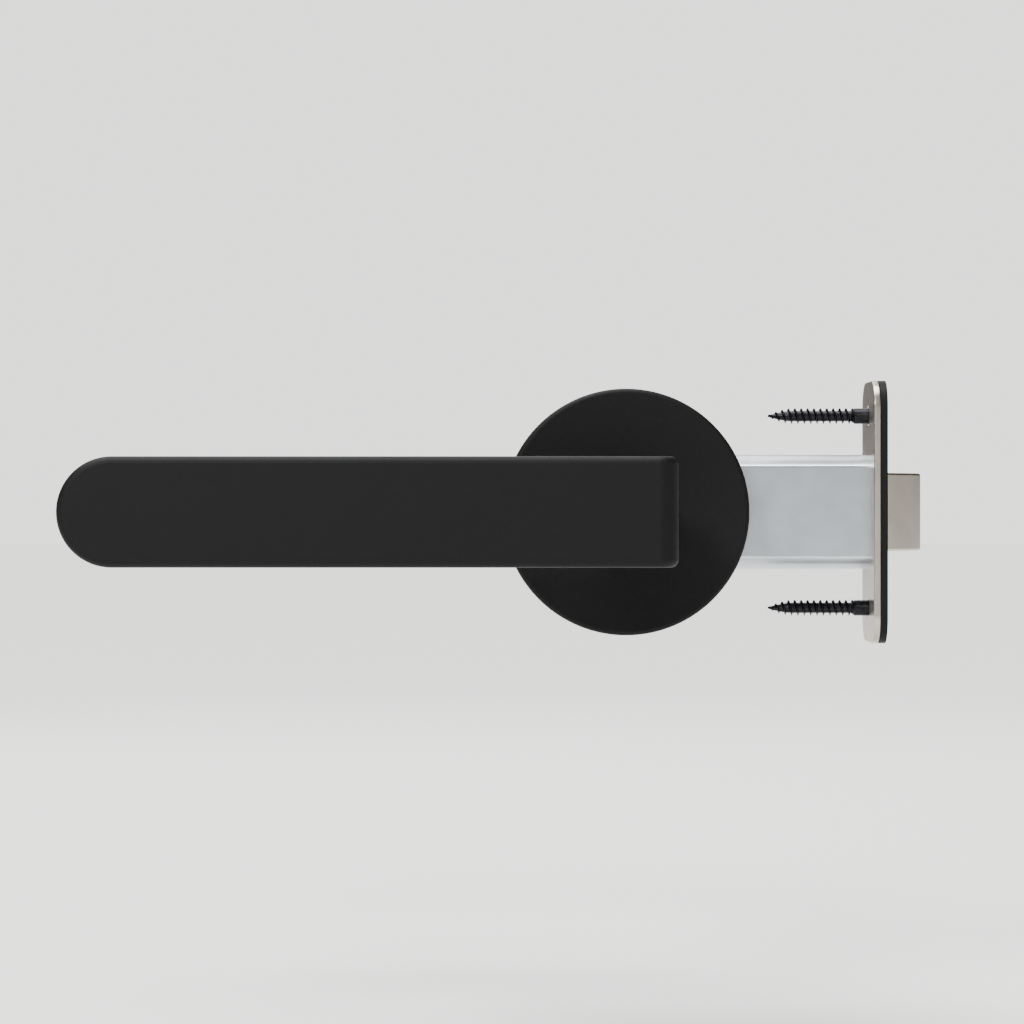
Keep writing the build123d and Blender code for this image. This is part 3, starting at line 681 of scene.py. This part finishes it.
# %% Through bolts
bolt_offset = 19
bolt_radius, thread_core, thread_pitch, head_radius, head_height = 2.0, 1.62, 0.7, 4.2, 2.0
bolt_end, head_top = 16, 46.6
head_under = head_top - head_height
bolt = threaded(bolt_radius, thread_core, thread_pitch, bolt_end, head_under - bolt_end - 3)
bolt.rotation_euler.z = pi / 2
bolt.location.z = bolt_offset * mm
settle(bolt)
choose(bolt, "VERT", lambda v, p: p.y < (bolt_end + 0.4) * mm)
bpy.ops.transform.resize(value=(0.82, 1, 0.82), center_override=(0, 0, bolt_offset * mm))
leave()
bolt_head = turned(
    [(0, head_under - 4), (bolt_radius, head_under - 4), (bolt_radius, head_under),
     (head_radius, head_under), (head_radius, head_under + 0.9), (3.4, head_top - 0.35),
     (1.9, head_top), (0, head_top)],
    centre=(0, 0, bolt_offset), sides=64,
)
for wide, tall in ((2.2, 0.5), (0.5, 2.2)):
    cut(bolt_head, block((-wide, head_top - 1.3, bolt_offset - tall),
                         (wide, head_top + 1, bolt_offset + tall)))
bolts = weld(*pair(weld(bolt, bolt_head)))
install(bolts, "clamping_bolts", "plated_steel", fixed, "through_bolts")

# %% Sleeve nuts
# From its slotted head, through the collar that fits the rose base, to the open threaded end.
sleeve = turned(
    [(0, -6.6), (3.6, -6.6), (4.2, -6.1), (4.2, -4.6), (3.4, -4.6), (3.4, 0.75), (3.15, 1.0),
     (3.0, 1.3), (3.0, 23.5), (2.6, 24.0), (2.3, 24.0), (2.05, 23.7), (2.05, 14.0), (0, 14.0)],
    centre=(0, 0, bolt_offset), sides=64,
)
cut(sleeve, block((-5, -7, bolt_offset - 0.6), (5, -5.6, bolt_offset + 0.6)))
install(weld(*pair(sleeve)), "sleeve_nut_pair", "plated_steel", fixed, "sleeve_nuts")

# %% [markdown]
# ## The rose bases
#
# Each base is a zinc die casting. Its front, under the cover, has the bearing, the two bolt
# posts and the stops for the spring driver. Its back is cored out between ribs, to save metal
# and to let the casting cool evenly, and shows the round marks of the pins that pushed it out
# of the die. The round parts are one turned profile, and the rest is added and cut.

# %% Turned body of the base
base_radius = -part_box("front_rose_base")[0].x / mm
base_floor, rim_height, rim_inside, snap_groove = 3.2, 7.2, 22.6, 24.2
bearing_bore, bearing_outside, bearing_height = 7.55, 9.2, 5.4
circlip_room, circlip_depth = 10.8, 2.4
base = turned([
    (bearing_bore, -circlip_depth), (circlip_room, -circlip_depth), (circlip_room, 0),
    (base_radius, 0), (base_radius, -2.1), (snap_groove, -2.1), (snap_groove, -3.3),
    (base_radius, -3.3), (base_radius, -rim_height), (rim_inside, -rim_height),
    (rim_inside, -base_floor), (bearing_outside, -base_floor),
    (bearing_outside, -bearing_height), (bearing_bore, -bearing_height),
], sides=144)
print("turned base:", len(base.data.polygons), "faces")


# %% Posts, stops and the spring's anchor
def at_angle(low, high, angle):
    """A box drawn along +X, then turned round the spindle from +X towards +Z, in degrees."""
    bar = block(low, high)
    bar.rotation_euler.y = -radians(angle)
    return settle(bar)


post_height, post_radius, swing_half, buried = 4.6, 5, 27.5, -2.8
parts = list(pair(rod(post_radius, (0, buried, bolt_offset), (0, -post_height, bolt_offset))))
for angle, side in ((180 - swing_half, -4.3), (180 + swing_half, 4.3)):
    parts.append(at_angle((17.4, -rim_height, side - 1.5), (22.8, buried, side + 1.5), angle))
for side in (1.65, -1.65):
    parts.append(at_angle((12.8, -base_floor - 1.5, side - 1), (16.8, buried, side + 1), 61.5))
cut(base, *parts, way="UNION")
print("with posts and stops:", len(base.data.polygons), "faces")

# %% Cored pockets, pin marks and bolt holes
pockets = turned([(12.6, 1), (22.4, 1), (22.2, -1.4), (12.8, -1.4)], sides=144)
ribs = [at_angle((-24, -2, -0.9), (24, 2, 0.9), angle) for angle in (0, 45, 90, 135)]
cut(pockets, *ribs, *pair(rod(5.4, (0, -2, bolt_offset), (0, 2, bolt_offset))))
pins = [rod(1.5, (x, -1.6, z), (x, 1, z), sides=32) for x in (16, -16) for z in (7, -7)]
seats = pair(rod(4.5, (0, -post_height - 0.05, bolt_offset), (0, -9, bolt_offset)))
bolt_holes = pair(rod(2.1, (0, 1, bolt_offset), (0, -6, bolt_offset), sides=48))
cut(base, pockets, *pins, *seats, *bolt_holes)
rear_base = to_rear(base)
sleeve_holes = pair(rod(3.5, (0, 1, bolt_offset), (0, -6, bolt_offset), sides=48))
cut(base, *sleeve_holes)
install(soften(base, 0.2, merge=0.08), "base_front", "die_cast_zinc", fixed, "front_rose_base")
install(soften(rear_base, 0.2, merge=0.08), "base_rear", "die_cast_zinc", fixed, "rear_rose_base")

# %% [markdown]
# ## The plates on the door's edge
#
# The faceplate is the one that shows: thin steel with round corners, coated black, with two
# countersunk screw holes and the opening for the bolt. The forend behind it carries the case.
# Both are a box with four edges bevelled to the corner radius, cut and then softened.

# %% Forend and faceplate
latch_middle = door_middle / mm
forend_back, plate_back, plate_front, screw_place = 54, 55.5, 57, 21


def edge_plate(back, front, *cutters):
    """A plate with round corners and the bolt's opening."""
    side, top, corner_round = 12.5, 28.5, 6
    plate = block((back, latch_middle - side, -top), (front, latch_middle + side, top))
    choose(plate, "EDGE", lambda e, p: at(abs(p.z), top) and at(abs(p.y - door_middle), side))
    bpy.ops.mesh.bevel(offset=corner_round * mm, segments=16, affect="EDGES")
    leave()
    opening = block((back - 1, latch_middle - 5.6, -8.6), (front + 1, latch_middle + 5.6, 8.6))
    return soften(cut(plate, opening, *cutters), 0.3, segments=3)


def screw_holes(radius, back, front, tip=None):
    """The two screw holes of a plate, or their countersinks when the tip is wider."""
    start, end = (back, latch_middle, screw_place), (front, latch_middle, screw_place)
    return pair(rod(radius, start, end, tip=tip))


def tab_slot(side):
    """The slot in the forend for the tab of one case half."""
    middle = latch_middle + side * 7
    return block((forend_back - 1, middle - 0.55, -5.1), (plate_back + 1, middle + 0.55, 5.1))


forend = edge_plate(
    forend_back, plate_back,
    *screw_holes(2.05, forend_back - 1, plate_back + 1), tab_slot(-1), tab_slot(1),
)
install(forend, "forend_plate", "satin_nickel", fixed, "latch_forend")
faceplate = edge_plate(
    plate_back, plate_front,
    *screw_holes(1.85, plate_back - 1, plate_front + 1),
    *screw_holes(1.5, plate_front - 2, plate_front + 1, tip=4.5),
)
install(faceplate, "faceplate_cover", "black_coat", fixed, "faceplate")

# %% [markdown]
# ## The faceplate screws
#
# They are countersunk wood screws: a cone under a flat head with a cross recess, a plain shank,
# and a coarse thread whose core narrows to a gimlet point. The thread is wound as on the bolts,
# with its last turns squeezed towards the axis, ring by ring.

# %% Wood screw
screw_core, screw_crest, screw_pitch, shank = 1.15, 1.75, 1.4, 1.72
screw_tip, thread_length, shank_back, screw_head = 32, 20.5, 51.0, plate_front - 0.05
shaft = threaded(screw_crest, screw_core, screw_pitch, screw_tip, thread_length)
rings, ring_width, blunt = 22, 0.25, 0.12
for ring in range(rings):
    high = screw_tip + (ring + 1) * ring_width
    low = high - ring_width if ring else 0
    share = blunt + (1 - blunt) * sin(pi / 2 * (ring + 0.5) / rings)
    choose(shaft, "VERT", lambda v, p: low * mm <= p.x < high * mm)
    bpy.ops.transform.resize(value=(1, share, share), center_override=(0, 0, 0))
leave()
shaft.location = Vector((0, latch_middle, screw_place)) * mm
settle(shaft)
head = turned(
    [(0, screw_head), (3.3, screw_head), (3.4, screw_head - 0.12), (shank, screw_head - 1.75),
     (shank, shank_back), (screw_core, shank_back - 0.8), (0, shank_back - 0.8)],
    axis="X", centre=(0, latch_middle, screw_place), sides=64,
)
for wide, tall in ((1.8, 0.4), (0.4, 1.8)):
    cut(head, block((screw_head - 1.2, latch_middle - wide, screw_place - tall),
                    (screw_head + 1, latch_middle + wide, screw_place + tall)))
screw = weld(shaft, head)
lower_screw = copied(screw, move=(0, 0, -2 * screw_place))
install(weld(screw, lower_screw), "wood_screws", "dark_steel", fixed, "faceplate_screws")

# %% [markdown]
# ## The latch bolt
#
# The bolt is a zinc casting, plated satin nickel. Its striking side is a slope that bulges a
# little, so that it rides over the strike plate without a jolt. The slope is trimmed from a box
# by flat cuts along the chords of that curve, as a file would, and shading makes it smooth.

# %% Latch bolt
near_side, far_side, bolt_half = latch_middle - 5.5, latch_middle + 5.5, 8.5
flange_low, flange_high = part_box("latch_bolt")
bolt_tip, flange_back = flange_high.x / mm, flange_low.x / mm
foot, top, bulge, chords = Vector((57.4, near_side)), Vector((bolt_tip, far_side - 1.5)), 0.9, 14
latch = block((flange_back + 1, near_side, -bolt_half), (bolt_tip, far_side, bolt_half))
slope = top - foot
curve_radius = (slope.length ** 2 / 4 + bulge ** 2) / (2 * bulge)
inward = Vector((-slope.y, slope.x)).normalized()
curve_centre = (foot + top) / 2 + inward * (curve_radius - bulge)
first = (foot - curve_centre).angle_signed(Vector((1, 0)))
last = (top - curve_centre).angle_signed(Vector((1, 0)))
angles = [first + (last - first) * step / chords for step in range(chords + 1)]
rim = [curve_centre + curve_radius * Vector((cos(angle), sin(angle))) for angle in angles]
for start, end in zip(rim, rim[1:]):
    slice_off(latch, (start.x, start.y, 0), ((end - start).y, -(end - start).x, 0))
soften(outward(latch), 0.5, segments=3, angle=22)
print("slope's radius:", round(curve_radius, 1), "mm")

# %% Flange, and holes for the tail and its pin
pin_place = flange_back + 1.25
flange = block(flange_low / mm, (flange_back + 2.5, flange_high.y / mm, flange_high.z / mm))
latch = cut(
    cut(latch, soften(flange, 0.3), way="UNION"),
    rod(2.05, (flange_back - 1, latch_middle, 0), (flange_back + 5, latch_middle, 0), sides=48),
    rod(0.85, (pin_place, latch_middle, -12), (pin_place, latch_middle, 12), sides=32),
)
install(latch, "bevelled_bolt", "satin_nickel", latching, "latch_bolt")

# %% [markdown]
# ## The latch case
#
# The case is pressed from plated sheet in two halves that meet at the middle of the door, so
# its edges are bends and not corners. A cylinder is sliced flat at the side and open at the
# middle, its edges are bevelled as a press bends them, and Solidify makes the sheet.

# %% Case half, bent from sheet
case_back, case_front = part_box("latch_case_front_half")[0].x / mm, forend_back
case_radius, case_side, wall, bend = 12.5, 7.5, 1.0, 1.4
flat_half = 10      # half height of the flat side, where it meets the round
half_case = rod(case_radius, (case_back, latch_middle, 0), (case_front, latch_middle, 0), sides=144)
slice_off(half_case, (0, latch_middle - case_side, 0), (0, -1, 0))
slice_off(half_case, (0, latch_middle, 0), (0, 1, 0), fill=False)
choose(half_case, "FACE", lambda f, p: f.normal.x > 0.99)
bpy.ops.mesh.delete(type="FACE")


def on_bend(e, p):
    """True for the edges round the closed end, and for the two along the flat side."""
    along_side = at(p.y, latch_middle - case_side) and abs(abs(p.z) - flat_half * mm) < 0.3 * mm
    return at(p.x, case_back) or along_side


choose(half_case, "EDGE", on_bend)
bpy.ops.mesh.bevel(offset=bend * mm, segments=5, affect="EDGES", clamp_overlap=True)
leave()
modify(half_case, "SOLIDIFY", thickness=wall * mm, offset=-1, use_even_offset=True)
print("bent sheet:", len(half_case.data.polygons), "faces")

# %% Seam, holes and tab of the case
choose(half_case, "VERT", lambda v, p: p.y > door_middle - 0.05 * mm)
bpy.ops.transform.resize(value=(1, 0, 1), center_override=(0, door_middle, 0))
leave()
outward(half_case)
choose(
    half_case, "EDGE",
    lambda e, p: at(p.y, latch_middle) and abs(p.z) > 12.3 * mm and p.x > 10 * mm,
)
bpy.ops.mesh.bevel(offset=0.25 * mm, segments=2, affect="EDGES")
leave()
rivet_x, rivet_z, side_inside = -13.5, 4.5, latch_middle - 4
cut(
    half_case,
    rod(6.6, (0, 0, 0), (0, side_inside, 0), sides=96),
    *pair(rod(1.55, (rivet_x, 0, rivet_z), (rivet_x, side_inside, rivet_z), sides=32)),
)
tab_side = latch_middle - case_side + 0.02
tab = block((case_front - 1, tab_side, -5), (case_front + 1.4, tab_side + wall - 0.04, 5))
cut(half_case, soften(tab, 0.25), way="UNION")
far_case = to_rear(half_case)
install(half_case, "case_near_half", "plated_steel", fixed, "latch_case_front_half")
install(far_case, "case_far_half", "plated_steel", fixed, "latch_case_rear_half")

# %% Case rivets
rivet = turned(
    [(0, 11.9), (1.5, 11.9), (2.4, 12.3), (2.4, 12.5), (1.5, 12.5), (1.5, 27.5), (2.4, 27.5),
     (2.4, 27.7), (1.5, 28.1), (0, 28.1)],
    centre=(rivet_x, 0, rivet_z), sides=48,
)
install(weld(*pair(rivet)), "rivet_pair", "plated_steel", fixed, "case_rivets")

# %% [markdown]
# ## The springs
#
# The springs change length or turn when the set works. A coil could be drawn as a curve, but a
# mesh ends cleanly, so a small circle of wire is wound by the Screw modifier. Each spring is
# left at rest, where it is drawn.


# %% Coils
def coil(radius, wire, angle, rise, axis, start, turn=0):
    """Wire wound round the axis from a start point, with closed ends; the angle is in degrees."""
    bpy.ops.object.select_all(action="DESELECT")
    out = Vector((axis == "Y", axis == "X", 0)) * radius * mm
    bpy.ops.mesh.primitive_circle_add(vertices=14, radius=wire / 2 * mm, location=out)
    piece = settle(bpy.context.object)
    steps = int(abs(angle) / 9)
    modify(
        piece, "SCREW", axis=axis, angle=radians(angle), screw_offset=rise * mm, iterations=1,
        steps=steps, render_steps=steps, use_merge_vertices=False,
    )
    whole(piece)
    bpy.ops.mesh.select_all(action="DESELECT")
    bpy.ops.mesh.select_non_manifold()
    bpy.ops.mesh.fill_holes(sides=0)
    leave()
    piece.rotation_euler["XYZ".index(axis)] = radians(turn)
    piece.location = Vector(start) * mm
    return outward(settle(piece))


def give(piece, name, node):
    """Finish a spring, put its place into its mesh, and show it in place of this node."""
    smooth(piece, 60)
    dress(piece, name, "spring_steel")
    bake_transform(piece)
    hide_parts(node)


# %% Bolt spring and retractor springs
bolt_seat, cross_plate = flange_back, 34.5
bolt_spring = coil(
    3.0, 0.8, 360 * 7, bolt_seat - cross_plate - 1.0, "X", (cross_plate + 0.5, latch_middle, 0)
)
give(
    bolt_spring, "bolt_coil", "bolt_spring",
)
end_wall, lug_back, lug_middle = -18, -0.963, 9.14
upper_spring = coil(
    1.1, 0.5, 360 * 11, lug_back - end_wall - 0.7, "X", (end_wall + 0.35, latch_middle, lug_middle)
)
lower_spring = copied(upper_spring, move=(0, 0, -2 * lug_middle))
give(
    weld(upper_spring, lower_spring), "retractor_coils", "retractor_springs",
)

# %% Return springs
# A coil of a little more than one turn, with a leg at each end. The low leg leans on the rose
# base and the high one on the spring driver.
wire, coil_radius, pitch, reach = 1.1, 10.6, 1.15, 16.8
anchor_angle, leg_angle, low_leg = -298.5, 166.5, 3.8
wrap = leg_angle - anchor_angle
climb = pitch * wrap / 360
high_leg = low_leg + climb
coiled = coil(coil_radius, wire, -wrap, -climb, "Y", (0, -low_leg, 0), turn=-anchor_angle)
legs = []
for level, angle in ((low_leg, anchor_angle), (high_leg, leg_angle)):
    way = Vector((cos(radians(angle)), 0, sin(radians(angle))))
    foot = Vector((0, -level, 0))
    legs.append(rod(wire / 2, way * (coil_radius - 0.2) + foot, way * reach + foot, sides=14))
front_spring = weld(coiled, *legs)
rear_spring = to_rear(front_spring)
give(
    front_spring, "return_coil_front", "front_return_spring",
)
give(
    rear_spring, "return_coil_rear", "rear_return_spring",
)

# %% [markdown]
# ## Floor, light and camera
#
# A pale floor lies below the lowest reach of the turned levers. A sun with a wide disc keeps it
# equally bright up to the horizon, where it meets a sky of the same tone. A soft lamp in front,
# above and to the left throws the lever's shadow on the rose, to the lower right. The camera
# looks straight at the front rose, level with the spindle.

# %% Floor
floor_drop, floor_radius = 118 * mm, 12
bpy.ops.object.select_all(action="DESELECT")
bpy.ops.mesh.primitive_circle_add(
    vertices=128, radius=floor_radius, fill_type="NGON", location=(0, 0, -floor_drop)
)
floor = settle(bpy.context.object)
floor.name = "floor"
floor_finish, tree, shader = new_material("pale_floor", Roughness=0.9, Specular_IOR_Level=0.2)
shader.inputs["Base Color"].default_value = linear("#E4E4E2")
floor.data.materials.append(floor_finish)
print("floor at z =", -floor_drop / mm, "mm")


# %% Lights
def aim(holder, place, target=(-0.03, 0, 0)):
    """Put a light at a place and turn it to face the target."""
    bpy.context.scene.collection.objects.link(holder)
    holder.location = place
    holder.rotation_euler = (Vector(target) - Vector(place)).to_track_quat("-Z", "Y").to_euler()


def lamp(name, place, size, watts):
    """A square soft lamp that faces the set."""
    light = bpy.data.lights.new(name, "AREA")
    light.size = size
    light.energy = watts
    aim(bpy.data.objects.new(name, light), place)


overhead = bpy.data.lights.new("overhead", "SUN")
overhead.energy = 7.5
overhead.angle = radians(50)
overhead_place = (-0.5, -0.15, 2.2)
aim(bpy.data.objects.new("overhead", overhead), overhead_place)
lamp("key", (-0.3, -0.93, 0.5), 0.2, 10)
lamp("fill", (0.9, -0.7, 0.25), 0.9, 1)
lamp("back", (-0.2, 0.9, 0.8), 0.8, 8)

# %% Sky
# What the camera sees past the floor is brighter than what lights the set, so that the black
# pieces stay dark against a pale ground.
world = bpy.data.worlds.new("studio")
bpy.context.scene.world = world
world.use_nodes = True
tree = world.node_tree
sky_light = tree.nodes["Background"]
sky_light.inputs["Color"].default_value = linear("#E6E6E4")
sky_light.inputs["Strength"].default_value = 0.15
sky_seen = add(tree, "ShaderNodeBackground", {"Color": linear("#E6E6E4"), "Strength": 2.5})
path = add(tree, "ShaderNodeLightPath")
either = add(tree, "ShaderNodeMixShader", {"Fac": path.outputs["Is Camera Ray"]})
tree.links.new(sky_light.outputs["Background"], either.inputs[1])
tree.links.new(sky_seen.outputs["Background"], either.inputs[2])
tree.links.new(either.outputs["Shader"], tree.nodes["World Output"].inputs["Surface"])

# %% Camera
centre = (cad_box[0] + cad_box[1]) / 2
camera = bpy.data.cameras.new("camera")
camera.lens = 120
camera.sensor_width = 36
holder = bpy.data.objects.new("camera", camera)
bpy.context.scene.collection.objects.link(holder)
margin = 1.12
framed_width = margin * (cad_box[1].x - cad_box[0].x)
distance = framed_width * camera.lens / camera.sensor_width
holder.location = (centre.x, cad_box[0].y - distance, 0)
holder.rotation_euler = (radians(90), 0, 0)
bpy.context.scene.camera = holder
print("camera stands off by", round(distance, 2), "m")
